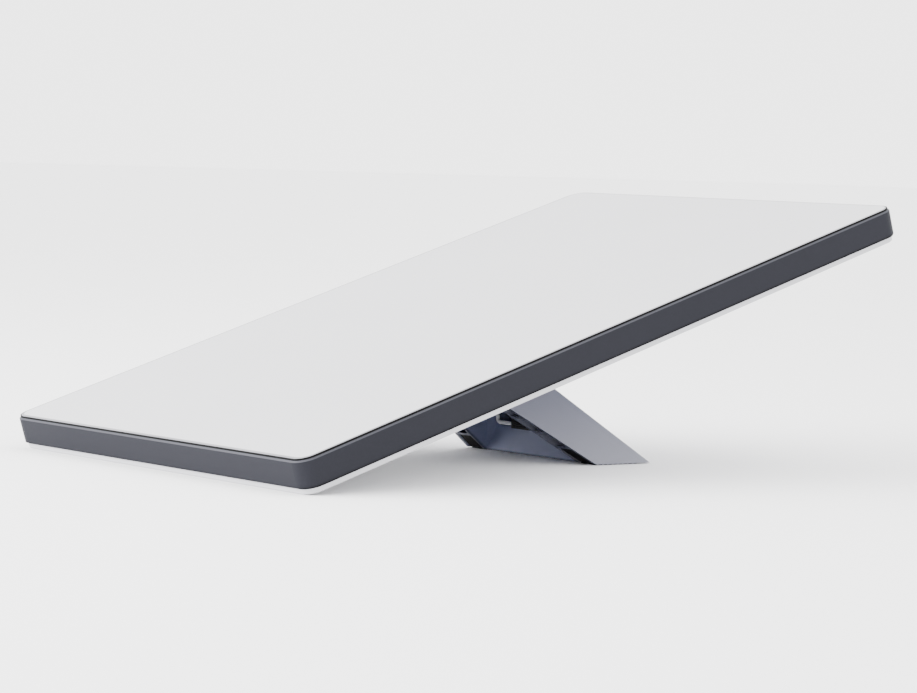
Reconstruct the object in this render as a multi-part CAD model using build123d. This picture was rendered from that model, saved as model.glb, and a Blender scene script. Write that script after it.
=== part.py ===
from build123d import *
import os
from math import ceil, cos, hypot, radians, sin

# A flat-panel satellite antenna that rests on its low edge and on one folding stand.
# Millimetres. The panel is drawn flat first: x across, y up the slope from the low edge,
# z out of the white face, which is z = 0. It is then tilted about the low edge.
# The stand is drawn where it stands: y towards the high end, z up, ground at z = 0.

# ---- driving dimensions: panel ----
panelWidth = 383.0
panelLength = 594.0
panelDepth = 39.7
edgeDepth = 27.0
cornerRadius = 13.0
tilt = 18.0

bandDepth = 21.5
bandWall = 3.0
rimTop = 1.5
rimWall = 1.3
rimBevel = 1.1
seatDepth = 3.0
seatFlange = 2.0
seatReach = 9.0

coverThickness = 2.7
coverRoll = 0.3
gasketWall = 0.9
gasketTop = 0.3

lipInset = 2.0
lipRound = 1.2
sealInset = 2.2
sealThickness = 1.0
sealWidth = 10.6
shellWall = 2.4

plateauWidth = 250.0
plateauLength = 372.0
plateauCentre = 297.0
plateauSlope = 20.0
plateauRadius = 34.0

# ---- driving dimensions: inside the panel ----
foamInset = 9.4
foamDepth = 4.6
boardInset = 4.6
boardTop = 8.6
boardThickness = 2.0
patchSize = 24.0
patchPitch = 39.0
patchThickness = 0.3
chipSize = 12.0
chipHeight = 1.2
padHeight = 1.0
spreaderInset = 13.6
spreaderThickness = 0.8
finHeight = 3.6
finPitch = 26.0
modemSize = (150.0, 105.0)
modemCentre = 190.0
canSize = (40.0, 62.0)
canPlaces = (-50.0, 48.0)
canHeight = 5.0
canWall = 0.5
modemDepth = 24.6
modemThickness = 1.6

# ---- driving dimensions: fasteners and port ----
caseScrewRadius = 1.5
caseHeadRadius = 2.8
caseHeadHeight = 2.2
caseBossRadius = 4.6
caseBossInset = 8.2
caseScrewLength = 14.0
ventPlace = (70.0, 160.0)
portY = 205.0
portRadius = 15.0
portBezelWidth = 3.0
portRecess = 6.0
socketMouth = (12.0, 9.0)
socketBody = (18.0, 16.0)
socketCavity = 7.0

# ---- driving dimensions: stand ----
footHalfWidth = 81.0
footFront = 353.6
footRear = 409.8
frontRun = 1.575
rearRun = 1.27
flare = 0.59
legSkin = 3.0
ribThickness = 2.0
soleLift = 0.8
plugHeight = 12.0
rearEdgeRound = 2.5
hingeRound = 9.3
hingeGap = 0.4
pinRadius = 4.0
runningGap = 0.05
bushOuter = 5.4
cheekInner = 19.6
lugHalfWidth = 18.4
bracketWidth = 100.0
bracketLength = 80.0
bracketScrewInset = 8.0
bracketDepth = 4.0
bracketRim = 6.0
foldTravel = 55.0

beamInnerFoot = 57.5
beamInnerSlope = 0.45
recessTop = 56.0
webTop = 22.0
cellsTop = 60.0
cellCount = 4
windowHalfWidth = 43.0
windowTopHalfWidth = 32.0

leverDepth = 14.0
leverThickness = 3.0
leverHalfWidth = 16.0
leverStemHalf = 7.0
leverFoot = 21.2
leverPadHeight = 8.0
leverPadForward = 1.1
leverPadThickness = 2.4
leverPivotHeight = 47.0
leverPinRadius = 2.0
leverKnuckle = 4.2
leverKnuckleHalf = 9.0
noseAngle = -43.0
noseRoom = 3.0
guideRoom = 0.4
guideRadius = 1.5
guideLift = 2.4
guideRise = 6.5
guideBend = 3.0
guideHalfWidth = 38.4
guideTail = 6.0

# ---- worked-out sizes ----
halfWidth = panelWidth / 2
lean = radians(tilt)
frontNorm = hypot(1, frontRun)
rearNorm = hypot(1, rearRun)
lipDrop = lipRound * (sin(lean) + cos(lean) - 1)


def tilted(y, z):
    """Ground position (y, z) of a panel point, before the row origin is set."""
    up = y - lipInset
    out = z + edgeDepth
    return (up * cos(lean) - out * sin(lean), up * sin(lean) + out * cos(lean) - lipDrop)


lowY = tilted(0, 0)[0]
highY = tilted(panelLength, -bandDepth)[0]
centreY = (lowY + highY) / 2
panelPlace = Pos(0, -lipInset, edgeDepth)
groundPlace = Pos(0, -centreY, -lipDrop)


def pin_place():
    """Hinge axis: one head radius inside the rear plane, just under the panel's back."""
    out = -panelDepth - hingeRound - hingeGap + edgeDepth
    slopeY = cos(lean) + rearRun * sin(lean)
    slopeOut = -sin(lean) + rearRun * cos(lean)
    reach = footRear + rearRun * lipDrop - hingeRound * rearNorm
    return ((reach - slopeOut * out) / slopeY + lipInset, out - edgeDepth)


pinPanelY, pinPanelZ = pin_place()
pinY, pinZ = tilted(pinPanelY, pinPanelZ)


def front_y(z):
    return footFront - frontRun * z


def rear_y(z):
    return footRear - rearRun * z


def depth_y(z, depth):
    """y of the plane that lies the given depth inside the stand's front plane."""
    return front_y(z) + depth * frontNorm


def outer_x(z):
    return footHalfWidth - flare * z


def beam_inner_x(z):
    return beamInnerFoot - beamInnerSlope * z


# ---- shared shape helpers ----
def plate(inset, top, bottom):
    """Flat slab with the panel's outline drawn in by inset, from depth top to depth bottom."""
    radius = max(cornerRadius - inset, 2.0)
    outline = RectangleRounded(panelWidth - 2 * inset, panelLength - 2 * inset, radius)
    slab = extrude(outline, amount=bottom - top)
    return Pos(0, panelLength / 2, -bottom) * slab


def slab_at(x, y, width, length, top, bottom):
    block = Box(width, length, bottom - top)
    return Pos(x, y, -(top + bottom) / 2) * block


def disc_at(x, y, radius, top, bottom):
    disc = Cylinder(radius, bottom - top)
    return Pos(x, y, -(top + bottom) / 2) * disc


def side_profile(points, halfSpan):
    """Solid with the given (y, z) outline, spanning x from -halfSpan to halfSpan."""
    outline = Plane.YZ * Polygon(*points, align=None)
    return extrude(outline, amount=halfSpan, both=True)


def front_trapezoid(levels, halfSpan=400.0):
    """Solid with the outline of (half width, z) levels seen along y."""
    right = [(width, z) for width, z in levels]
    left = [(-width, z) for width, z in reversed(levels)]
    outline = Plane.XZ * Polygon(*(right + left), align=None)
    return extrude(outline, amount=halfSpan + footRear, both=True)


def rod_x(radius, halfLength, y, z):
    return Pos(0, y, z) * Rot(0, 90, 0) * Cylinder(radius, 2 * halfLength)


def mirrored(shape):
    return [shape, mirror(shape, about=Plane.YZ)]


def place_panel(shape):
    return groundPlace * Rot(tilt, 0, 0) * panelPlace * shape


def place_stand(shape):
    return Pos(0, -centreY, 0) * shape


# ---- places of repeated pieces ----
def case_screw_places():
    side = halfWidth - caseBossInset
    ends = (caseBossInset, panelLength - caseBossInset)
    rows = [panelLength * share for share in (0.1, 0.3, 0.5, 0.7, 0.9)]
    places = [(s * side, y) for y in rows for s in (-1, 1)]
    places += [(s * panelWidth * 0.2, y) for y in ends for s in (-1, 1)]
    return places


def grid_places(width, length, pitch, centre):
    columns = int(width // pitch)
    rows = int(length // pitch)
    places = []
    for column in range(columns):
        for row in range(rows):
            x = (column - (columns - 1) / 2) * pitch
            y = centre + (row - (rows - 1) / 2) * pitch
            places.append((x, y))
    return places


def bracket_screw_places():
    across = bracketWidth / 2 - bracketScrewInset
    along = bracketLength / 2 - bracketScrewInset
    return [(sx * across, plateauCentre + sy * along) for sx in (-1, 1) for sy in (-1, 1)]


# ---- panel: outside ----
def front_cover():
    cover = plate(rimWall + gasketWall, 0, coverThickness)
    top = cover.edges().group_by(Axis.Z)[-1]
    return fillet(top, coverRoll)


def cover_gasket():
    """Black ring under the cover and up around its edge, a little proud of the frame."""
    ring = plate(rimWall, gasketTop, seatDepth)
    ring -= plate(rimWall + gasketWall, gasketTop - 1, coverThickness)
    return ring - plate(seatReach - 0.6, coverThickness - 1, seatDepth + 1)


def side_frame():
    body = plate(0, rimTop, bandDepth)
    body = chamfer(body.edges().group_by(Axis.Z)[-1], rimBevel)
    body -= plate(rimWall, 0, seatDepth)
    body -= plate(seatReach, 0, seatDepth + seatFlange + 1)
    body -= plate(bandWall, seatDepth + seatFlange, bandDepth + 1)
    bosses = [
        disc_at(x, y, caseBossRadius, boardTop + boardThickness, bandDepth)
        for x, y in case_screw_places()
    ]
    webs = []
    for x, y in case_screw_places():
        nearEnd = min(y, panelLength - y) < caseBossInset + 1
        toWall = caseBossInset - bandWall / 2
        if nearEnd:
            side = 1 if y > panelLength / 2 else -1
            webs.append(slab_at(x, y + side * toWall / 2, 3, toWall, 12.0, bandDepth))
        else:
            side = 1 if x > 0 else -1
            webs.append(slab_at(x + side * toWall / 2, y, toWall, 3, 12.0, bandDepth))
    body += bosses + webs
    holes = [
        disc_at(x, y, caseScrewRadius, bandDepth - 10.0, bandDepth + 1)
        for x, y in case_screw_places()
    ]
    return body - holes


def frame_seal():
    ring = plate(sealInset, bandDepth, bandDepth + sealThickness)
    ring -= plate(sealInset + sealWidth, bandDepth - 1, bandDepth + sealThickness + 1)
    holes = [
        disc_at(x, y, caseScrewRadius, bandDepth - 1, bandDepth + 2)
        for x, y in case_screw_places()
    ]
    return ring - holes


def plateau(inset, top, bottom):
    """The raised middle of the back: a flat-topped mound with sloping sides."""
    radius = plateauRadius - inset
    wide = RectangleRounded(
        plateauWidth + 2 * plateauSlope - 2 * inset,
        plateauLength + 2 * plateauSlope - 2 * inset,
        radius + plateauSlope,
    )
    narrow = RectangleRounded(plateauWidth - 2 * inset, plateauLength - 2 * inset, radius)
    faces = [Pos(0, 0, -top) * wide, Pos(0, 0, -bottom) * narrow]
    return Pos(0, plateauCentre, 0) * loft(faces)


def rear_shell():
    top = bandDepth + sealThickness
    body = plate(lipInset, top, edgeDepth)
    body = fillet(body.edges().group_by(Axis.Z)[0], lipRound)
    body += plateau(0, edgeDepth - 0.01, panelDepth)
    body -= plate(lipInset + shellWall, top - 1, edgeDepth - shellWall)
    body -= plateau(shellWall, edgeDepth - shellWall - 0.6, panelDepth - shellWall)
    for x, y in case_screw_places():
        body += disc_at(x, y, caseBossRadius + 0.6, top, edgeDepth - shellWall / 2)
    for x, y in bracket_screw_places():
        body += disc_at(x, y, 6.0, modemDepth + 4.0, panelDepth - 1)
    padWidth = bracketWidth + 2 * bracketRim
    padLength = bracketLength + 2 * bracketRim
    body += slab_at(0, plateauCentre, padWidth, padLength, panelDepth - 7.0, panelDepth - 0.01)
    body += disc_at(0, portY, portRadius + 3, panelDepth - 8.0, panelDepth - 0.01)
    for x, y in case_screw_places():
        body -= disc_at(x, y, caseScrewRadius, top - 1, edgeDepth + 1)
        body -= disc_at(x, y, caseHeadRadius + 0.2, edgeDepth - caseHeadHeight, edgeDepth + 1)
    body -= bracket_plate_outline(0, panelDepth - bracketDepth, panelDepth + 1)
    for x, y in bracket_screw_places():
        body -= disc_at(x, y, 2.0, modemDepth + 6.0, panelDepth)
    body -= disc_at(0, portY, portRadius, panelDepth - portRecess, panelDepth + 1)
    body -= slab_at(0, portY, socketBody[0], socketBody[1], modemDepth, panelDepth)
    body -= disc_at(*ventPlace, 5.0, edgeDepth, panelDepth + 1)
    return body


def pressure_vent():
    stem = disc_at(*ventPlace, 5.0, panelDepth - 5.0, panelDepth)
    head = disc_at(*ventPlace, 8.0, panelDepth, panelDepth + 1.6)
    head = chamfer(head.edges().group_by(Axis.Z)[0], 0.8)
    slots = [
        Pos(*ventPlace, -panelDepth - 0.8) * Rot(0, 0, angle) * Pos(7, 0, 0) * Box(3, 1.4, 0.8)
        for angle in range(0, 360, 60)
    ]
    return stem + head - slots


def case_screws():
    screws = []
    for x, y in case_screw_places():
        under = edgeDepth - caseHeadHeight
        head = disc_at(x, y, caseHeadRadius, under, edgeDepth - 0.2)
        shank = disc_at(x, y, caseScrewRadius, edgeDepth - caseScrewLength, under)
        socket = Pos(x, y, -edgeDepth) * extrude(RegularPolygon(1.25, 6), amount=1.4)
        screws.append(head + shank - socket)
    return Compound(children=screws)


# ---- panel: inside ----
def foam_spacer():
    return plate(foamInset, coverThickness, coverThickness + foamDepth)


def array_board():
    return plate(boardInset, boardTop, boardTop + boardThickness)


def patch_elements():
    places = grid_places(panelWidth - 36, panelLength - 36, patchPitch, panelLength / 2)
    patches = [
        slab_at(x, y, patchSize, patchSize, boardTop - patchThickness, boardTop)
        for x, y in places
    ]
    return Compound(children=patches)


def chip_places():
    return grid_places(panelWidth - 60, panelLength - 60, 2 * patchPitch, panelLength / 2)


def beamformer_chips():
    top = boardTop + boardThickness
    chips = [slab_at(x, y, chipSize, chipSize, top, top + chipHeight) for x, y in chip_places()]
    return Compound(children=chips)


def thermal_pads():
    top = boardTop + boardThickness + chipHeight
    size = chipSize + 2
    pads = [slab_at(x, y, size, size, top, top + padHeight) for x, y in chip_places()]
    return Compound(children=pads)


def heat_spreader():
    top = boardTop + boardThickness + chipHeight + padHeight
    body = plate(spreaderInset, top, top + spreaderThickness)
    span = panelWidth - 2 * spreaderInset - 24
    count = ceil((panelLength - 2 * spreaderInset) / finPitch) - 1
    for index in range(count):
        y = spreaderInset + finPitch * (index + 1)
        body += slab_at(0, y, span, 1.6, top + spreaderThickness, top + spreaderThickness + finHeight)
    return body


def modem_board():
    width, length = modemSize
    return slab_at(0, modemCentre, width, length, modemDepth - modemThickness, modemDepth)


def shield_cans():
    cans = []
    width, length = canSize
    hollowTop = modemDepth + canHeight - canWall
    for x in canPlaces:
        outside = slab_at(x, modemCentre, width, length, modemDepth, modemDepth + canHeight)
        inner = (width - 2 * canWall, length - 2 * canWall)
        inside = slab_at(x, modemCentre, *inner, modemDepth - 1, hollowTop)
        cans.append(outside - inside)
    return Compound(children=cans)


def main_processor():
    return slab_at(canPlaces[0], modemCentre, 24, 24, modemDepth, modemDepth + 2.0)


def positioning_module():
    return slab_at(canPlaces[1], modemCentre - 12, 18, 18, modemDepth, modemDepth + 3.0)


def cable_socket():
    low = panelDepth - portRecess
    body = slab_at(0, portY, socketBody[0] - 0.4, socketBody[1] - 0.4, modemDepth, low)
    cavity = slab_at(0, portY, socketMouth[0], socketMouth[1], low - socketCavity, low + 1)
    key = slab_at(0, portY + socketMouth[1] / 2 + 1, 4.0, 2.2, low - 5.0, low + 1)
    return body - cavity - key


def port_bezel():
    ring = disc_at(0, portY, portRadius - 0.1, panelDepth - portRecess, panelDepth + 0.8)
    ring = chamfer(ring.edges().group_by(Axis.Z)[0], 0.6)
    return ring - disc_at(0, portY, portRadius - portBezelWidth, 0, panelDepth + 3)


def port_seal():
    outer = portRadius - portBezelWidth - 0.1
    ring = disc_at(0, portY, outer, panelDepth - portRecess, panelDepth - portRecess + 2.0)
    return ring - disc_at(0, portY, outer - 2.0, 0, panelDepth + 1)


# ---- panel: hinge bracket ----
def bracket_plate_outline(inset, top, bottom):
    width = bracketWidth - 2 * inset
    length = bracketLength - 2 * inset
    outline = RectangleRounded(width, length, bracketScrewInset - inset)
    return Pos(0, plateauCentre, -bottom) * extrude(outline, amount=bottom - top)


def hinge_bracket():
    body = bracket_plate_outline(0.25, panelDepth - bracketDepth, panelDepth)
    radius = hingeRound - 0.8
    lug = Pos(0, pinPanelY, (pinPanelZ - panelDepth + 2) / 2)
    body += lug * Box(2 * lugHalfWidth, 2 * radius, -pinPanelZ - panelDepth + 2)
    body += rod_x(radius, lugHalfWidth, pinPanelY, pinPanelZ)
    notch = Rot(noseAngle - tilt, 0, 0) * Pos(0, radius + 0.6, 0) * Box(18, 3.0, 3.4)
    body -= Pos(0, pinPanelY, pinPanelZ) * notch
    body -= rod_x(bushOuter, lugHalfWidth + 1, pinPanelY, pinPanelZ)
    for x, y in bracket_screw_places():
        body -= disc_at(x, y, 2.2, panelDepth - 5, panelDepth + 1)
        body -= Pos(x, y, -panelDepth + 1.1) * Cone(4.4, 2.2, 2.2)
    return body


def hinge_bushes():
    bushes = []
    for side in (-1, 1):
        x = side * (lugHalfWidth - 5)
        outer = Pos(x, pinPanelY, pinPanelZ) * Rot(0, 90, 0) * Cylinder(bushOuter, 10)
        inner = Pos(x, pinPanelY, pinPanelZ) * Rot(0, 90, 0) * Cylinder(pinRadius + runningGap, 12)
        bushes.append(outer - inner)
    return Compound(children=bushes)


def hinge_washers():
    washers = []
    for side in (-1, 1):
        x = side * (lugHalfWidth + 0.5)
        outer = Pos(x, pinPanelY, pinPanelZ) * Rot(0, 90, 0) * Cylinder(hingeRound - 1, 1.0)
        inner = Pos(x, pinPanelY, pinPanelZ) * Rot(0, 90, 0) * Cylinder(pinRadius + runningGap, 2)
        washers.append(outer - inner)
    return Compound(children=washers)


def bracket_screws():
    screws = []
    for x, y in bracket_screw_places():
        head = Pos(x, y, -panelDepth + 1.2) * Cone(4.2, 2.0, 2.0)
        shank = disc_at(x, y, 2.0, panelDepth - 9.0, panelDepth - 2.2)
        socket = Pos(x, y, -panelDepth) * extrude(RegularPolygon(1.5, 6), amount=1.5)
        screws.append(head + shank - socket)
    return Compound(children=screws)


# ---- stand ----
def head_top_z(y):
    """Height of the stand head's top plane, parallel to the panel's back."""
    return pinZ + hingeRound / cos(lean) + (y - pinY) * sin(lean) / cos(lean)


def crossing(run, foot):
    """Where the head's top plane meets the plane y = foot - run * z."""
    grade = sin(lean) / cos(lean)
    base = pinZ + hingeRound / cos(lean) - pinY * grade
    z = (base + grade * foot) / (1 + grade * run)
    return (foot - run * z, z)


def stand_outer():
    points = [
        (front_y(soleLift), soleLift),
        (rear_y(soleLift), soleLift),
        crossing(rearRun, footRear),
        crossing(frontRun, footFront),
    ]
    body = side_profile(points, footHalfWidth + 5)
    headEdge = body.edges().filter_by(Axis.X).sort_by(Axis.Z)[-1]
    body = fillet(headEdge, hingeRound)
    top = pinZ + 20
    body &= front_trapezoid([(outer_x(0), 0), (outer_x(top), top)])
    corners = [edge for edge in body.edges() if is_rear_corner(edge)]
    return fillet(corners, rearEdgeRound)


def is_rear_corner(edge):
    """True for the two long edges where the sides meet the rear face."""
    away = hypot(edge.center().Y - rear_y(pinZ / 2), edge.center().Z - pinZ / 2)
    return edge.length > pinZ and away < 8


def front_recess():
    """The sunken face between the two beams, down to the upright web at the foot."""
    reach = 6.0
    points = []
    for side in (-1, 1):
        points.append((side * beam_inner_x(0), footFront, 0))
        points.append((side * windowHalfWidth, footFront, webTop))
        points.append((side * beam_inner_x(recessTop), front_y(recessTop) - reach, recessTop))
        points.append((side * windowTopHalfWidth, rear_inner_y(recessTop), recessTop))
        points.append((side * beam_inner_x(0), footFront - reach * 4, -1))
    return ConvexPolyhedron(points)


def rear_inner_y(z):
    return rear_y(z) - legSkin * rearNorm


def deep_recess():
    """The space behind the web and up to the hinge, as far in as the rear skin."""
    floor = legSkin + soleLift
    webBack = footFront + legSkin
    points = [
        (webBack, floor),
        (rear_inner_y(floor), floor),
        (rear_inner_y(recessTop), recessTop),
        (front_y(recessTop) - 4, recessTop),
        (front_y(webTop) - 4, webTop),
        (webBack, webTop),
    ]
    body = side_profile(points, footHalfWidth)
    levels = [(windowHalfWidth, 0), (windowHalfWidth, webTop), (windowTopHalfWidth, recessTop)]
    return body & front_trapezoid(levels)


def beam_pocket(low, high):
    """One cell of the hollow beam on the +x side, between two cross ribs."""
    wall = 2.5
    skin = legSkin * hypot(1, flare)
    points = [
        (front_y(low) - 8, low),
        (rear_inner_y(low), low),
        (rear_inner_y(high), high),
        (front_y(high) - 8, high),
    ]
    body = side_profile(points, footHalfWidth)
    outline = Polygon(
        (beam_inner_x(low) + wall, low),
        (outer_x(low) - skin, low),
        (outer_x(high) - skin, high),
        (beam_inner_x(high) + wall, high),
        align=None,
    )
    return body & extrude(Plane.XZ * outline, amount=2 * footRear, both=True)


def beam_cells():
    """Lowest and highest level of each cell, between the foot plug and the head."""
    first = plugHeight + ribThickness
    step = (cellsTop - first) / cellCount
    lows = [first + step * index for index in range(cellCount)]
    return [(low, low + step - ribThickness) for low in lows]


def lug_clearance():
    """Room in the head for the bracket's lug through the whole fold."""
    radius = hingeRound - 0.8
    cuts = [rod_x(radius + 0.7, cheekInner, pinY, pinZ)]
    steps = 6
    for index in range(steps + 1):
        angle = tilt - foldTravel * index / steps
        block = Pos(0, 0, 15) * Box(2 * cheekInner, 2 * radius + 1.4, 30)
        cuts.append(Pos(0, pinY, pinZ) * Rot(angle, 0, 0) * block)
    return cuts


def lever_channel():
    """Opening from the deep recess up to the lug, for the lever's arm and nose."""
    low = recessTop - 6
    points = [
        (depth_y(low, 10), low),
        (rear_inner_y(low), low),
        (rear_inner_y(pinZ - noseRoom), pinZ - noseRoom),
        (pinY, pinZ),
        (depth_y(pinZ, 10), pinZ),
    ]
    return side_profile(points, 10.0)


def leg_shell():
    body = stand_outer()
    body -= front_recess()
    body -= deep_recess()
    for low, high in beam_cells():
        body -= mirrored(beam_pocket(low, high))
    body -= mirrored(beam_pocket(-soleLift, plugHeight))
    body -= lug_clearance()
    body -= lever_channel()
    body -= rod_x(pinRadius, footHalfWidth, pinY, pinZ)
    body -= rod_x(leverPinRadius, lever_pin_half(), leverPivotY, leverPivotHeight)
    return body


leverPivotY = depth_y(leverPivotHeight, leverDepth + leverThickness / 2)


def lever_pin_half():
    share = (leverPivotHeight - webTop) / (recessTop - webTop)
    edge = windowHalfWidth + share * (windowTopHalfWidth - windowHalfWidth)
    return edge + 3.0


def foot_pads():
    """Rubber plugs pushed into the open ends of the two beams; they meet the ground."""
    frontSink = 1.5
    points = [
        (front_y(0) + frontSink, 0),
        (rear_y(0), 0),
        (rear_y(plugHeight), plugHeight),
        (front_y(plugHeight) + frontSink, plugHeight),
    ]
    plug = beam_pocket(-soleLift, plugHeight) & side_profile(points, footHalfWidth)
    return Compound(children=mirrored(plug))


def hinge_pin():
    half = outer_x(pinZ) - 1.2
    pin = rod_x(pinRadius, half, pinY, pinZ)
    return chamfer(pin.edges().filter_by(GeomType.CIRCLE), 0.5)


def lever_pin():
    return rod_x(leverPinRadius, lever_pin_half(), leverPivotY, leverPivotHeight)


def cable_guide():
    """Pale rod bent into a U across the window, with its ends set in the beams."""
    low = webTop + guideLift
    high = low + guideRise
    padBack = depth_y(leverFoot, leverDepth) - leverPadForward + leverPadThickness
    y = padBack + guideRoom + guideRadius
    half = guideHalfWidth
    tip = half + guideTail
    path = FilletPolyline(
        (-tip, y, high), (-half, y, high), (-half, y, low),
        (half, y, low), (half, y, high), (tip, y, high),
        radius=guideBend,
    )
    section = Plane(origin=(-tip, y, high), z_dir=(1, 0, 0)) * Circle(guideRadius)
    return sweep(section, path=path)


# ---- release lever ----
def along_lever(z, depth):
    return (depth_y(z, depth), z)


def release_lever():
    """Wide thumb pad at the foot, narrow stem up to the pin, and a nose that holds the lug."""
    padFront = depth_y(leverFoot, leverDepth) - leverPadForward
    padBack = padFront + leverPadThickness
    padTop = leverFoot + leverPadHeight
    pad = [(padFront, leverFoot), (padBack, leverFoot), (padBack, padTop), (padFront, padTop)]
    body = side_profile(pad, leverHalfWidth)
    front = leverDepth
    back = leverDepth + leverThickness
    stem = [
        (padFront, padTop - leverThickness),
        (padBack, padTop - leverThickness),
        (padBack, padTop),
        along_lever(leverPivotHeight + 1, back),
        along_lever(leverPivotHeight + 1, front),
    ]
    body += side_profile(stem, leverStemHalf)
    arm = [
        along_lever(leverPivotHeight - 2, front),
        along_lever(leverPivotHeight - 2, back),
        nose_point(3.2),
        nose_point(-1.0),
    ]
    body += side_profile(arm, leverStemHalf)
    body += rod_x(leverKnuckle, leverKnuckleHalf, leverPivotY, leverPivotHeight)
    body -= rod_x(leverPinRadius + runningGap, leverHalfWidth, leverPivotY, leverPivotHeight)
    return body


def nose_point(shift):
    """A point on the nose's tip, clear of the lug by a third of a millimetre."""
    radius = hingeRound - 0.8 + 0.9
    angle = radians(noseAngle)
    y = pinY + radius * cos(angle) - shift * sin(angle)
    z = pinZ + radius * sin(angle) + shift * cos(angle)
    return (y, z)


def lever_spring():
    coil = Helix(pitch=1.3, height=7.8, radius=leverKnuckle - 0.9)
    place = Pos(leverKnuckleHalf + 1.2, leverPivotY, leverPivotHeight) * Rot(0, 90, 0)
    section = Plane(origin=coil @ 0, z_dir=coil % 0) * Circle(0.4)
    return place * sweep(section, path=coil)


panelNodes = {
    "front_cover": front_cover,
    "cover_gasket": cover_gasket,
    "side_frame": side_frame,
    "frame_seal": frame_seal,
    "rear_shell": rear_shell,
    "pressure_vent": pressure_vent,
    "case_screws": case_screws,
    "foam_spacer": foam_spacer,
    "array_board": array_board,
    "patch_elements": patch_elements,
    "beamformer_chips": beamformer_chips,
    "thermal_pads": thermal_pads,
    "heat_spreader": heat_spreader,
    "modem_board": modem_board,
    "shield_cans": shield_cans,
    "main_processor": main_processor,
    "positioning_module": positioning_module,
    "cable_socket": cable_socket,
    "port_bezel": port_bezel,
    "port_seal": port_seal,
    "hinge_bracket": hinge_bracket,
    "hinge_bushes": hinge_bushes,
    "hinge_washers": hinge_washers,
    "bracket_screws": bracket_screws,
}

standNodes = {
    "leg_shell": leg_shell,
    "foot_pads": foot_pads,
    "hinge_pin": hinge_pin,
    "lever_pin": lever_pin,
    "lever_spring": lever_spring,
    "cable_guide": cable_guide,
    "release_lever": release_lever,
}


def export_all():
    os.makedirs("parts", exist_ok=True)
    for name, make in panelNodes.items():
        export_step(place_panel(make()), f"parts/{name}.step")
    for name, make in standNodes.items():
        export_step(place_stand(make()), f"parts/{name}.step")
    pinAt = (0, round(pinY - centreY, 3), round(pinZ, 3))
    leverAt = (0, round(leverPivotY - centreY, 3), leverPivotHeight)
    print("hinge pin at", pinAt, "lever pivot at", leverAt)


export_all()
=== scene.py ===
import math
import bpy
import bmesh
from mathutils import Matrix, Vector


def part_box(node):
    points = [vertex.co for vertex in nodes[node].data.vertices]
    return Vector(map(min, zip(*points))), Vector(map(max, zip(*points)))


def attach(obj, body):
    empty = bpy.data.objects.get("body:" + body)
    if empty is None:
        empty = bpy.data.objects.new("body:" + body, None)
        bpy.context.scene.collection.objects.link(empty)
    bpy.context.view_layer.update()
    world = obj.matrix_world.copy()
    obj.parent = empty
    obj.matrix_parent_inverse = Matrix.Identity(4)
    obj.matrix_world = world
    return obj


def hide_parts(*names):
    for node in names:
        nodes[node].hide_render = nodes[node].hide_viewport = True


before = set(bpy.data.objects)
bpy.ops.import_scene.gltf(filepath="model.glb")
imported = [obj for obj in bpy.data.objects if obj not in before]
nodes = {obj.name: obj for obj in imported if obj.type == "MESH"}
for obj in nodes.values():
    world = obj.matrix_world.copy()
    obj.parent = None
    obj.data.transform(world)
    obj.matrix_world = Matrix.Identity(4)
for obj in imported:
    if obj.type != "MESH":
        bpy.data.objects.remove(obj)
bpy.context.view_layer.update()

mm = 0.001

# where the panel stands: tilted about its low edge, as the frame has it
panelPose = dict(
    tilt=18.0, width=383.0, length=594.0, corner=13.0, edgeDepth=27.0, lipInset=2.0, lipRound=1.2,
)
lean = math.radians(panelPose["tilt"])


def panelMatrix(pose=panelPose):
    # panel coordinates: x across, y up the slope, z out of the white face, in metres
    drop = pose["lipRound"] * (math.sin(lean) + math.cos(lean) - 1) * mm
    turn = Matrix.Rotation(lean, 4, "X")
    seat = Matrix.Translation((0, -pose["lipInset"] * mm, pose["edgeDepth"] * mm))
    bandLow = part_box("side_frame")[0]
    lowCorner = turn @ seat @ Vector((0, 0, 0))
    return Matrix.Translation((0, bandLow.y - lowCorner.y, -drop)) @ turn @ seat


onPanel = panelMatrix()

# the stand's own planes, in ground millimetres: y towards the high end, z up
standShape = dict(
    footFront=353.6, footRear=409.8, frontRun=1.575, rearRun=1.27, skin=3.0, soleHeight=0.8,
    outer=81.0, flare=0.59, inner=57.5, innerSlope=0.45, pocketWall=2.5,
)
# ground millimetres start from another origin than the frame's y
soleRear = standShape["footRear"] - standShape["rearRun"] * standShape["soleHeight"]
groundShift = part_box("leg_shell")[1].y / mm - soleRear


# a shader socket that takes plain arithmetic and adds the Math nodes for it
class Sock:
    def __init__(self, tree, socket):
        self.tree = tree
        self.socket = socket

    def math(self, operation, a, b):
        return self.tree.node("ShaderNodeMath", dict(operation=operation), {0: a, 1: b})[0]

    def __add__(self, other):
        return self.math("ADD", self, other)

    __radd__ = __add__

    def __sub__(self, other):
        return self.math("SUBTRACT", self, other)

    def __rsub__(self, other):
        return self.math("SUBTRACT", other, self)

    def __mul__(self, other):
        return self.math("MULTIPLY", self, other)

    __rmul__ = __mul__


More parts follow.
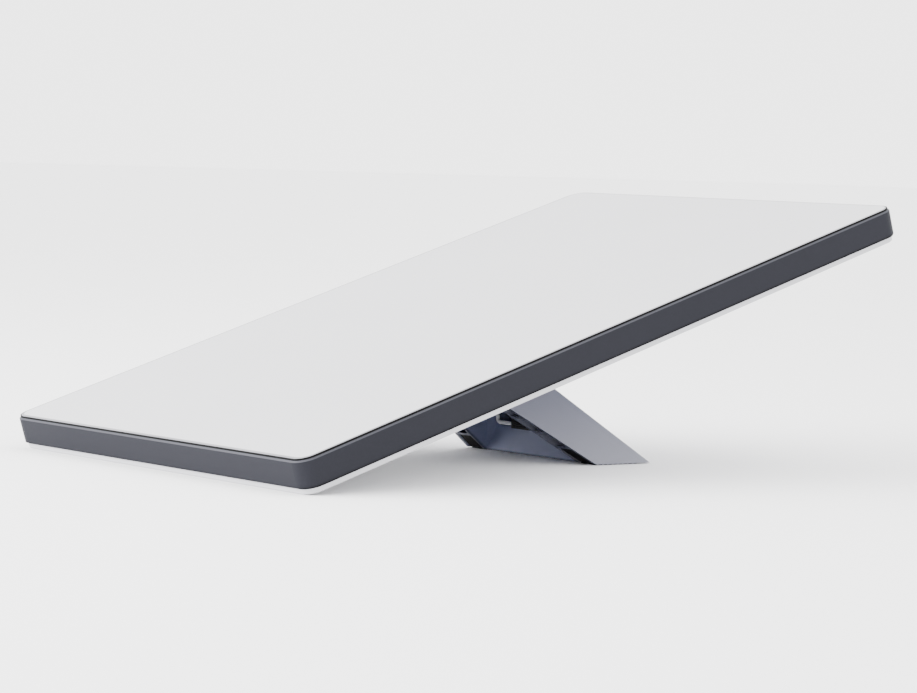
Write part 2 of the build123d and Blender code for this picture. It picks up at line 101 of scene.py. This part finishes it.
class Tree:
    def __init__(self, name):
        self.material = bpy.data.materials.new(name)
        self.material.use_nodes = True
        self.links = self.material.node_tree.links
        self.shader = self.material.node_tree.nodes["Principled BSDF"]

    def node(self, kind, settings=None, inputs=None):
        made = self.material.node_tree.nodes.new(kind)
        for key, value in (settings or {}).items():
            if key == "stops":
                self.setRamp(made, value)
            else:
                setattr(made, key, value)
        for key, value in (inputs or {}).items():
            self.feed(made.inputs[key], value)
        return [Sock(self, out) for out in made.outputs]

    def setRamp(self, made, stops):
        elements = made.color_ramp.elements
        while len(elements) < len(stops):
            elements.new(0.5)
        for element, (place, value) in zip(elements, stops):
            element.position = place
            element.color = (value, value, value, 1) if isinstance(value, float) else (*value, 1)

    def feed(self, socket, value):
        if isinstance(value, Sock):
            self.links.new(value.socket, socket)
        elif isinstance(value, (tuple, list)) and len(value) == 3 and socket.type == "RGBA":
            socket.default_value = (*value, 1)
        else:
            socket.default_value = value

    def normals(self):
        return self.node("ShaderNodeTexCoord")[1]

    def place(self):
        # object coordinates in metres
        return self.node("ShaderNodeTexCoord")[3]

    def stretched(self, stretch=(1, 1, 1)):
        return self.node("ShaderNodeMapping", None, {"Vector": self.place(), "Scale": stretch})[0]

    def noise(self, scale, detail=3.0, rough=0.5, stretch=(1, 1, 1)):
        sockets = {"Vector": self.stretched(stretch), "Scale": scale, "Detail": detail, "Roughness": rough}
        return self.node("ShaderNodeTexNoise", None, sockets)[0]

    def cells(self, scale):
        return self.node("ShaderNodeTexVoronoi", None, {"Vector": self.stretched(), "Scale": scale})[0]

    def ramp(self, value, stops):
        return self.node("ShaderNodeValToRGB", dict(stops=stops), {"Fac": value})[0]

    def mix(self, factor, first, second):
        return self.node("ShaderNodeMix", dict(data_type="RGBA"), {0: factor, 6: first, 7: second})[2]

    def bump(self, height, strength, distance):
        sockets = {"Height": height, "Strength": strength, "Distance": distance}
        return self.node("ShaderNodeBump", None, sockets)[0]

    def vector(self, operation, a, b=(0.0, 0.0, 0.0), output=0):
        return self.node("ShaderNodeVectorMath", dict(operation=operation), {0: a, 1: b})[output]

    def facing(self, direction):
        # 1 where the surface squarely faces a fixed direction of the object, less where it turns away
        return self.along(self.normals(), direction)

    def along(self, vector, direction):
        return self.vector("DOT_PRODUCT", vector, direction, output=1)

    def onPanelPlane(self):
        # object coordinates turned flat with the panel, from the middle of its face
        middle = onPanel @ Vector((0, panelPose["length"] * mm / 2, 0))
        shifted = self.vector("SUBTRACT", self.place(), tuple(middle))
        turned = {"Vector": shifted, "Rotation": (-lean, 0.0, 0.0)}
        return self.node("ShaderNodeMapping", dict(vector_type="POINT"), turned)[0]

    def set(self, **values):
        for key, value in values.items():
            self.feed(self.shader.inputs[key.replace("_", " ")], value)
        return self.material


# one function for each finish
def frontSkin():
    look = dict(
        color=(0.51, 0.51, 0.528), shade=(0.49, 0.49, 0.507), dust=(0.42, 0.42, 0.43),
        rough=0.52, gloss=0.35,
    )
    edge = dict(color=(0.17, 0.17, 0.185), inset=2.2)
    t = Tree("frontSkin")
    broad = t.noise(7.0, 4.0)
    fine = t.noise(2600.0, 2.0)
    dust = t.ramp(t.noise(420.0, 5.0, 0.65), [(0.62, 0.0), (0.8, 1.0)])
    tone = t.mix(broad, look["color"], look["shade"])
    tone = t.mix(dust * 0.08, tone, look["dust"])
    # a hairline of painted shade runs round the rolled edge of the sheet
    corner = panelPose["corner"]
    inner = tuple((panelPose[side] / 2 - corner) * mm for side in ("width", "length")) + (0.0,)
    flat = t.vector("MULTIPLY", t.onPanelPlane(), (1.0, 1.0, 0.0))
    past = t.vector("SUBTRACT", t.vector("ABSOLUTE", flat), inner)
    radius = (corner - edge["inset"]) * mm
    reach = t.vector("LENGTH", t.vector("MAXIMUM", past), output=1) * (1 / radius)
    line = t.ramp(reach, [(0.82, 0.0), (0.9, 1.0)]) * (broad * 0.4 + 0.7)
    tone = t.mix(line, tone, edge["color"])
    return t.set(
        Specular_IOR_Level=look["gloss"],
        Base_Color=tone,
        Roughness=broad * 0.08 + fine * 0.05 + (look["rough"] - 0.06),
        Normal=t.bump(fine, 0.08, 0.0002),
    )


def bandGrain():
    # besides the band's own grain, this holds the colours of a painted highlight on the bevel and of a
    # painted shadow line along the band's last edge
    look = dict(
        dark=(0.0093, 0.0095, 0.0125), light=(0.0175, 0.0178, 0.023), cloud=(0.0225, 0.023, 0.029),
        paintedRim=(0.048, 0.049, 0.058), edge=(0.003, 0.003, 0.0035), edgeDepth=0.0205, edgeBlur=0.0003,
        rough=0.5, gloss=0.055,
    )
    t = Tree("bandGrain")
    grain = t.noise(1500.0, 3.0, 0.6)
    pits = t.cells(900.0)
    broad = t.noise(9.0, 3.0)
    tone = t.mix(grain, look["dark"], look["light"])
    tone = t.mix(broad * 0.25, tone, look["cloud"])
    # painted highlight: the bevel that faces up and out is painted paler than the grained sides; it is also
    # smoother and less grained
    paintedRim = t.ramp(t.facing((0.0, -math.sin(lean), math.cos(lean))), [(0.45, 0.0), (0.6, 1.0)])
    paintedRim = paintedRim * (broad * 0.3 + 0.75)
    tone = t.mix(paintedRim, tone, look["paintedRim"])
    # painted shadow: a black line painted along the last of the band, where it meets the rear shell
    depth = t.along(t.onPanelPlane(), (0.0, 0.0, -1.0))
    start = look["edgeDepth"]
    paintedGapShadow = t.ramp(depth, [(start, 0.0), (start + look["edgeBlur"], 1.0)])
    tone = t.mix(paintedGapShadow, tone, look["edge"])
    return t.set(
        Specular_IOR_Level=look["gloss"],
        Base_Color=tone,
        Roughness=grain * 0.16 + (look["rough"] - 0.05) - paintedRim * 0.15,
        Normal=t.bump((grain * 0.7 + pits * 0.3) * (1 - paintedRim * 0.8), 0.32, 0.0003),
    )


def shellPlastic():
    look = dict(
        color=(0.44, 0.44, 0.465), shade=(0.405, 0.405, 0.425), scuff=(0.33, 0.33, 0.34), rough=0.46,
    )
    t = Tree("shellPlastic")
    spark = t.noise(1900.0, 2.0, 0.6)
    broad = t.noise(6.0, 4.0)
    scuff = t.ramp(t.noise(60.0, 6.0, 0.7, (1, 6, 1)), [(0.66, 0.0), (0.74, 1.0)])
    tone = t.mix(broad, look["color"], look["shade"])
    tone = t.mix(scuff * 0.12, tone, look["scuff"])
    return t.set(
        Base_Color=tone,
        Roughness=spark * 0.12 + scuff * 0.1 + (look["rough"] - 0.05),
        Normal=t.bump(spark, 0.2, 0.0002),
    )


def standPlastic():
    # besides the plastic's own colour and wear, this holds painted shade colours for the upper stand, its
    # sunken faces and the beam rims
    look = dict(
        color=(0.176, 0.179, 0.21), shade=(0.104, 0.109, 0.148), hollow=(0.15, 0.168, 0.27),
        paintedRim=(0.03, 0.034, 0.06), worn=(0.26, 0.27, 0.31), paintedShadeHeight=0.06, rimFrom=0.001, rimTo=0.003,
        rough=0.42, gloss=0.3,
    )
    t = Tree("standPlastic")
    grain = t.noise(1700.0, 3.0, 0.6)
    broad = t.noise(14.0, 4.0)
    scratch = t.ramp(t.noise(90.0, 5.0, 0.7, (1, 9, 9)), [(0.68, 0.0), (0.76, 1.0)])
    # painted light and shade: paler towards the foot and darker higher up under the panel, with some broad
    # random tone
    height = t.ramp(t.along(t.place(), (0.0, 0.0, 1.0)), [(0.0, 0.0), (look["paintedShadeHeight"], 1.0)])
    tone = t.mix(height * 0.8 + broad * 0.2, look["color"], look["shade"])
    tone = t.mix(scratch * 0.15, tone, look["worn"])
    # painted shade: the sunken front of the stand and the walls of its beams, picked by which way they face,
    # are painted bluer than its flanks
    sideStops = [(0.55, 0.0), (0.8, 1.0)]
    flank = t.ramp(t.facing((0.78, 0.0, 0.46)), sideStops)
    farFlank = t.ramp(t.facing((-0.78, 0.0, 0.46)), sideStops)
    rear = t.ramp(t.facing((0.0, 0.62, 0.78)), [(0.5, 0.0), (0.75, 1.0)])
    inside = 1 - flank - farFlank - rear
    tone = t.mix(inside, tone, look["hollow"])
    # painted shade: dark rims on the beams' inner faces, just behind the stand's front plane
    plane = (standShape["footFront"] + groundShift) * mm
    front = t.along(t.place(), (0.0, 1.0, standShape["frontRun"]))
    paintedRim = t.ramp(front, [(plane + look["rimFrom"], 1.0), (plane + look["rimTo"], 0.0)])
    tone = t.mix(paintedRim * inside, tone, look["paintedRim"])
    return t.set(
        Specular_IOR_Level=look["gloss"],
        Base_Color=tone,
        Roughness=grain * 0.14 + broad * 0.08 + (look["rough"] - 0.08),
        Normal=t.bump(grain, 0.2, 0.00025),
    )


def softRubber():
    look = dict(black=(0.003, 0.003, 0.0035), dust=(0.016, 0.016, 0.016), rough=0.7, gloss=0.08)
    t = Tree("softRubber")
    grain = t.noise(800.0, 4.0, 0.7)
    dust = t.ramp(t.noise(70.0, 5.0, 0.7), [(0.5, 0.0), (0.75, 1.0)])
    tone = t.mix(dust * 0.3, look["black"], look["dust"])
    return t.set(
        Specular_IOR_Level=look["gloss"],
        Base_Color=tone,
        Roughness=grain * 0.2 + (look["rough"] - 0.1),
        Normal=t.bump(grain, 0.4, 0.0003),
    )


def leverPlastic():
    look = dict(color=(0.006, 0.0065, 0.009), worn=(0.016, 0.017, 0.022), rough=0.5, gloss=0.12)
    t = Tree("leverPlastic")
    grain = t.noise(1500.0, 3.0, 0.6)
    worn = t.ramp(t.noise(110.0, 5.0, 0.6), [(0.55, 0.0), (0.8, 1.0)])
    tone = t.mix(worn * 0.3, look["color"], look["worn"])
    return t.set(
        Specular_IOR_Level=look["gloss"],
        Base_Color=tone,
        Roughness=grain * 0.2 + (look["rough"] - 0.1),
        Normal=t.bump(grain, 0.25, 0.0003),
    )


def guidePlastic():
    look = dict(color=(0.88, 0.88, 0.9), shade=(0.82, 0.82, 0.84), rough=0.25)
    t = Tree("guidePlastic")
    broad = t.noise(120.0, 4.0)
    tone = t.mix(broad, look["color"], look["shade"])
    return t.set(Base_Color=tone, Roughness=broad * 0.1 + look["rough"], Normal=t.bump(broad, 0.05, 0.0002))


def ventPlastic():
    look = dict(dark=(0.03, 0.03, 0.034), light=(0.06, 0.06, 0.066), rough=0.42)
    t = Tree("ventPlastic")
    grain = t.noise(1300.0, 3.0, 0.6)
    tone = t.mix(grain, look["dark"], look["light"])
    return t.set(Base_Color=tone, Roughness=grain * 0.2 + look["rough"], Normal=t.bump(grain, 0.3, 0.0003))


def metalFinish(name, light, dark, rough, streak):
    t = Tree(name)
    lines = t.noise(300.0, 3.0, 0.6, streak)
    spots = t.noise(60.0, 5.0, 0.6)
    tone = t.mix(lines, light, dark)
    tone = t.mix(spots * 0.25, tone, tuple(c * 0.6 for c in dark))
    return t.set(
        Base_Color=tone, Metallic=1.0, Roughness=lines * 0.18 + rough, Normal=t.bump(lines, 0.15, 0.0001)
    )


def boardResin():
    look = dict(dark=(0.012, 0.09, 0.05), light=(0.02, 0.14, 0.08), rough=0.3, coat=0.3)
    t = Tree("boardResin")
    weave = t.noise(700.0, 2.0)
    tone = t.mix(weave, look["dark"], look["light"])
    return t.set(
        Base_Color=tone, Roughness=weave * 0.1 + look["rough"], Coat_Weight=weave * 0.1 + look["coat"]
    )


def foamCore():
    look = dict(color=(0.84, 0.84, 0.83), shade=(0.7, 0.7, 0.69), rough=0.8)
    t = Tree("foamCore")
    cells = t.cells(500.0)
    tone = t.mix(cells, look["color"], look["shade"])
    return t.set(Base_Color=tone, Roughness=cells * 0.1 + look["rough"], Normal=t.bump(cells, 0.5, 0.0005))


def padGel():
    look = dict(color=(0.3, 0.33, 0.38), shade=(0.24, 0.27, 0.32), rough=0.5)
    t = Tree("padGel")
    broad = t.noise(200.0, 3.0)
    tone = t.mix(broad, look["color"], look["shade"])
    return t.set(Base_Color=tone, Roughness=broad * 0.2 + look["rough"])


looks = {
    "skin": frontSkin(),
    "band": bandGrain(),
    "shell": shellPlastic(),
    "stand": standPlastic(),
    "rubber": softRubber(),
    "lever": leverPlastic(),
    "guide": guidePlastic(),
    "vent": ventPlastic(),
    "board": boardResin(),
    "foam": foamCore(),
    "gel": padGel(),
    "bracket": metalFinish("bracketAnodised", (0.16, 0.165, 0.19), (0.1, 0.103, 0.12), 0.32, (1, 1, 1)),
    "pin": metalFinish("pinSteel", (0.2, 0.2, 0.215), (0.15, 0.15, 0.16), 0.35, (20, 1, 1)),
    "screw": metalFinish("screwSteel", (0.5, 0.5, 0.52), (0.38, 0.38, 0.4), 0.3, (1, 1, 1)),
    "spreader": metalFinish("spreaderAluminium", (0.75, 0.75, 0.77), (0.6, 0.6, 0.62), 0.3, (1, 12, 1)),
    "gold": metalFinish("contactGold", (0.9, 0.66, 0.3), (0.75, 0.52, 0.22), 0.22, (1, 1, 1)),
    "copper": metalFinish("patchCopper", (0.85, 0.42, 0.25), (0.7, 0.32, 0.18), 0.25, (1, 1, 1)),
}

nodeLooks = {
    "front_cover": "skin", "side_frame": "band", "rear_shell": "shell", "leg_shell": "stand",
    "cover_gasket": "rubber", "frame_seal": "rubber", "port_seal": "rubber", "foot_pads": "rubber",
    "release_lever": "lever", "cable_guide": "guide", "pressure_vent": "vent", "port_bezel": "vent",
    "cable_socket": "vent", "beamformer_chips": "vent", "main_processor": "vent",
    "positioning_module": "vent", "hinge_bushes": "vent", "array_board": "board",
    "modem_board": "board", "foam_spacer": "foam", "thermal_pads": "gel",
    "hinge_bracket": "bracket", "hinge_pin": "pin", "lever_pin": "pin", "hinge_washers": "pin",
    "lever_spring": "pin", "shield_cans": "pin", "case_screws": "screw", "bracket_screws": "screw",
    "heat_spreader": "spreader", "patch_elements": "copper",
}


def dressNodes():
    for name, look in nodeLooks.items():
        data = nodes[name].data
        data.materials.clear()
        data.materials.append(looks[look])
    print("materials on", len(nodeLooks), "nodes")


dressNodes()


def frontY(z, s=standShape):
    return s["footFront"] - s["frontRun"] * z


def rearInnerY(z, s=standShape):
    return s["footRear"] - s["rearRun"] * z - s["skin"] * math.hypot(1, s["rearRun"])


def depthY(z, depth, s=standShape):
    return frontY(z) + depth * math.hypot(1, s["frontRun"])


def pocketSpan(z, s=standShape):
    # inner and outer wall of the hollow beam at this height, on the +x side
    outer = s["outer"] - s["flare"] * z - s["skin"] * math.hypot(1, s["flare"])
    return s["inner"] - s["innerSlope"] * z + s["pocketWall"], outer


def onGround(x, y, z):
    # ground millimetres to the frame's metres
    return Vector((x, y + groundShift, z)) * mm


def addPrism(bm, lower, upper):
    # closed block between two outlines with the same number of points
    low = [bm.verts.new(point) for point in lower]
    high = [bm.verts.new(point) for point in upper]
    count = len(low)
    bm.faces.new(list(reversed(low)))
    bm.faces.new(high)
    for i in range(count):
        j = (i + 1) % count
        bm.faces.new((low[i], low[j], high[j], high[i]))


def finishPiece(name, bm, look, body, soften=0.0002):
    # mesh object with softened edges and its look, riding on one body
    bmesh.ops.recalc_face_normals(bm, faces=bm.faces)
    data = bpy.data.meshes.new(name)
    bm.to_mesh(data)
    bm.free()
    piece = bpy.data.objects.new(name, data)
    bpy.context.scene.collection.objects.link(piece)
    data.materials.append(looks[look])
    if soften:
        bevel = piece.modifiers.new("softEdges", "BEVEL")
        bevel.width = soften
        bevel.segments = 2
        bevel.limit_method = "ANGLE"
    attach(piece, body)
    return piece


# black bead of the seal, swelling out of the joint between the band and the rear shell
beadShape = dict(inset=1.7, depth=22.0, radius=0.7, bulge=0.69, cornerSteps=12, sides=10)


def makeSealBead(s=beadShape):
    bm = bmesh.new()
    halfWidth = panelPose["width"] / 2 - s["inset"]
    radius = panelPose["corner"] - s["inset"]
    sideX = halfWidth - radius
    lowY = s["inset"] + radius
    highY = panelPose["length"] - s["inset"] - radius
    rings = []
    corners = ((sideX, highY, 0), (-sideX, highY, 90), (-sideX, lowY, 180), (sideX, lowY, 270))
    for cornerX, cornerY, start in corners:
        for step in range(s["cornerSteps"] + 1):
            turn = math.radians(start + 90 * step / s["cornerSteps"])
            ring = []
            for side in range(s["sides"]):
                around = 2 * math.pi * side / s["sides"]
                reach = radius + s["bulge"] * math.cos(around)
                height = s["radius"] * math.sin(around) - s["depth"]
                place = Vector((cornerX + reach * math.cos(turn), cornerY + reach * math.sin(turn), height))
                ring.append(bm.verts.new(onPanel @ (place * mm)))
            rings.append(ring)
    for ring, after in zip(rings, rings[1:] + rings[:1]):
        for side in range(s["sides"]):
            other = (side + 1) % s["sides"]
            bm.faces.new((ring[side], ring[other], after[other], after[side]))
    for face in bm.faces:
        face.smooth = True
    finishPiece("sealBead", bm, "rubber", "panel", 0)
    print("seal bead made")


# crossed stiffening ribs, moulded inside each cell of the two beams
ribShape = dict(first=14.0, last=60.0, cells=4, wall=2.0, thickness=1.2, rise=13.0, sink=0.6)


def makeCrossRibs(r=ribShape):
    bm = bmesh.new()
    step = (r["last"] - r["first"]) / r["cells"]
    for index in range(r["cells"]):
        low = r["first"] + step * index
        high = low + step - r["wall"]
        inLow, outLow = pocketSpan(low)
        inHigh, outHigh = pocketSpan(high)
        for side in (-1, 1):
            for ends in (((inLow, low), (outHigh, high)), ((outLow, low), (inHigh, high))):
                start, end = (Vector(point) for point in ends)
                run = (end - start).normalized()
                across = Vector((-run.y, run.x)) * r["thickness"] / 2
                outline = (start + across, end + across, end - across, start - across)
                base = [onGround(side * x, rearInnerY(z) + r["sink"], z) for x, z in outline]
                crest = [onGround(side * x, rearInnerY(z) - r["rise"], z) for x, z in outline]
                addPrism(bm, base, crest)
    finishPiece("crossRibs", bm, "stand", "stand")
    print("cross ribs made")


# grip ridges on the release lever's thumb pad
gripShape = dict(
    foot=21.2, depth=14.0, forward=1.1, first=1.8, pitch=1.6, count=4, halfLength=13.0,
    radius=0.5, sink=0.1, sides=8, soften=0.00008,
)


def makeGripRidges(g=gripShape):
    bm = bmesh.new()
    face = depthY(g["foot"], g["depth"]) - g["forward"]
    for index in range(g["count"]):
        z = g["foot"] + g["first"] + g["pitch"] * index
        ring = []
        for k in range(g["sides"] + 1):
            turn = math.pi * k / g["sides"]
            y = face + g["sink"] - g["radius"] * math.sin(turn)
            ring.append((y, z + g["radius"] * math.cos(turn)))
        left, right = ([onGround(x, *point) for point in ring] for x in (-g["halfLength"], g["halfLength"]))
        addPrism(bm, left, right)
    finishPiece("gripRidges", bm, "lever", "lever", g["soften"])
    print("grip ridges made")


# the two wire legs of the lever's coil spring; each point is x, then y and z from the middle of the coil
springShape = dict(
    radius=0.4, pivotZ=47.0, pivotDepth=15.5, order=3,
    toCeiling=[(17.9, 3.3, 0.0), (18.2, 3.3, 4.5), (19.0, 3.7, 8.4), (23.0, 3.9, 8.7)],
    toStem=[(10.4, 0.0, -3.3), (10.0, 4.5, -4.2), (7.3, 7.875, -5.2), (5.5, 7.875, -5.4)],
)


def makeSpringTails(w=springShape):
    coilY, coilZ = depthY(w["pivotZ"], w["pivotDepth"]), w["pivotZ"]
    for name, route, body in (("springTailTop", "toCeiling", "stand"), ("springTailStem", "toStem", "lever")):
        data = bpy.data.curves.new(name, "CURVE")
        data.dimensions = "3D"
        data.bevel_depth = w["radius"] * mm
        data.bevel_resolution = 3
        data.use_fill_caps = True
        line = data.splines.new("NURBS")
        line.points.add(len(w[route]) - 1)
        for point, (x, y, z) in zip(line.points, w[route]):
            point.co = (*onGround(x, coilY + y, coilZ + z), 1)
        line.order_u = w["order"]
        line.use_endpoint_u = True
        data.materials.append(looks["pin"])
        piece = bpy.data.objects.new(name, data)
        bpy.context.scene.collection.objects.link(piece)
        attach(piece, body)
    print("spring tails made")


# eight gold contact springs inside the cable socket
contactShape = dict(
    centreY=205.0, count=8, pitch=1.02, width=0.5, thickness=0.22,
    route=[(-4.35, -27.0), (-4.3, -31.4), (-3.9, -32.4), (-3.2, -32.5), (-1.9, -30.2), (-0.9, -28.6)],
)


def makePortContacts(c=contactShape):
    bm = bmesh.new()
    for index in range(c["count"]):
        x = (index - (c["count"] - 1) / 2) * c["pitch"]
        rows = []
        for y, z in c["route"]:
            pair = [Vector((x + half, c["centreY"] + y, z)) for half in (-c["width"] / 2, c["width"] / 2)]
            rows.append([bm.verts.new(onPanel @ (place * mm)) for place in pair])
        for (a, b), (d, e) in zip(rows, rows[1:]):
            bm.faces.new((a, b, e, d))
    piece = finishPiece("portContacts", bm, "gold", "panel", 0)
    solid = piece.modifiers.new("springThickness", "SOLIDIFY")
    solid.thickness = c["thickness"] * mm
    print("port contacts made")


# rubber plugs in the open ends of the beams, with a tread of bars under each
treadShape = dict(
    height=12.0, frontSink=1.5, groove=1.1, bar=3.6, gap=1.5, margin=0.6, taper=0.3, root=0.2, soften=0.0003,
)


def makeFootTread(t=treadShape):
    bm = bmesh.new()
    for side in (-1, 1):
        levels = []
        for z in (t["groove"], t["height"]):
            inner, outer = pocketSpan(z)
            front, rear = frontY(z) + t["frontSink"], rearInnerY(z)
            corners = ((inner, front), (outer, front), (outer, rear), (inner, rear))
            levels.append([onGround(side * x, y, z) for x, y in corners])
        addPrism(bm, *levels)
        inner, outer = pocketSpan(t["groove"])
        low, high = inner + t["margin"], outer - t["margin"]
        y = frontY(t["groove"]) + t["frontSink"] + t["margin"]
        while y + t["bar"] < rearInnerY(t["groove"]) - t["margin"]:
            bar = []
            for z, taper in ((0, t["taper"]), (t["groove"] + t["root"], 0)):
                start, end = y + taper, y + t["bar"] - taper
                outline = ((low, start), (high, start), (high, end), (low, end))
                bar.append([onGround(side * x, place, z) for x, place in outline])
            addPrism(bm, *bar)
            y += t["bar"] + t["gap"]
    piece = finishPiece("footTread", bm, "rubber", "stand", t["soften"])
    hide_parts("foot_pads")
    print("foot tread made")


makeSealBead()
makeCrossRibs()
makeGripRidges()
makeSpringTails()
makePortContacts()
makeFootTread()


# pale floor and soft even light, with one wide lamp on the low side
studio = dict(
    floorSize=60.0, floorTone=(0.93, 0.93, 0.935), floorShade=0.985, floorRough=0.8,
    worldTone=(1.0, 1.0, 1.0), worldPower=3.7,
)


def makeFloor(look=studio):
    half = look["floorSize"] / 2
    data = bpy.data.meshes.new("floor")
    bm = bmesh.new()
    corners = [bm.verts.new((sx * half, sy * half, 0)) for sx, sy in ((-1, -1), (1, -1), (1, 1), (-1, 1))]
    bm.faces.new(corners)
    bm.to_mesh(data)
    bm.free()
    floor = bpy.data.objects.new("floor", data)
    bpy.context.scene.collection.objects.link(floor)
    t = Tree("floorPaper")
    broad = t.noise(3.0, 4.0)
    tone = t.mix(broad, look["floorTone"], tuple(look["floorShade"] * c for c in look["floorTone"]))
    data.materials.append(t.set(Base_Color=tone, Roughness=broad * 0.1 + look["floorRough"]))


lowSide = dict(place=(-1.0, -2.6, 1.0), target=(0, 0, 0.05), size=(2.4, 1.6), power=270.0)


def makeLight(look=lowSide):
    lamp = bpy.data.lights.new("lowSide", "AREA")
    lamp.shape = "RECTANGLE"
    lamp.size, lamp.size_y = look["size"]
    lamp.energy = look["power"]
    made = bpy.data.objects.new("lowSide", lamp)
    bpy.context.scene.collection.objects.link(made)
    made.location = look["place"]
    towards = Vector(look["target"]) - Vector(look["place"])
    made.rotation_euler = towards.to_track_quat("-Z", "Y").to_euler()


def makeWorld(look=studio):
    world = bpy.data.worlds.new("studio")
    bpy.context.scene.world = world
    world.use_nodes = True
    background = world.node_tree.nodes["Background"]
    background.inputs[0].default_value = (*look["worldTone"], 1)
    background.inputs[1].default_value = look["worldPower"]


view = dict(
    place=(2.0465, -1.6284, 0.2368), turn=(85.911, -1.815, 53.150),
    lens=132.0, sensor=36.0, shift=(0.1, 0.05), clip=(0.05, 200.0),
)


def makeCamera(look=view):
    data = bpy.data.cameras.new("camera")
    data.lens = look["lens"]
    data.sensor_width = look["sensor"]
    data.shift_x, data.shift_y = look["shift"]
    data.clip_start, data.clip_end = look["clip"]
    camera = bpy.data.objects.new("camera", data)
    camera.location = look["place"]
    camera.rotation_euler = [math.radians(angle) for angle in look["turn"]]
    bpy.context.scene.collection.objects.link(camera)
    bpy.context.scene.camera = camera


makeFloor()
makeWorld()
makeLight()
makeCamera()
print("studio set")
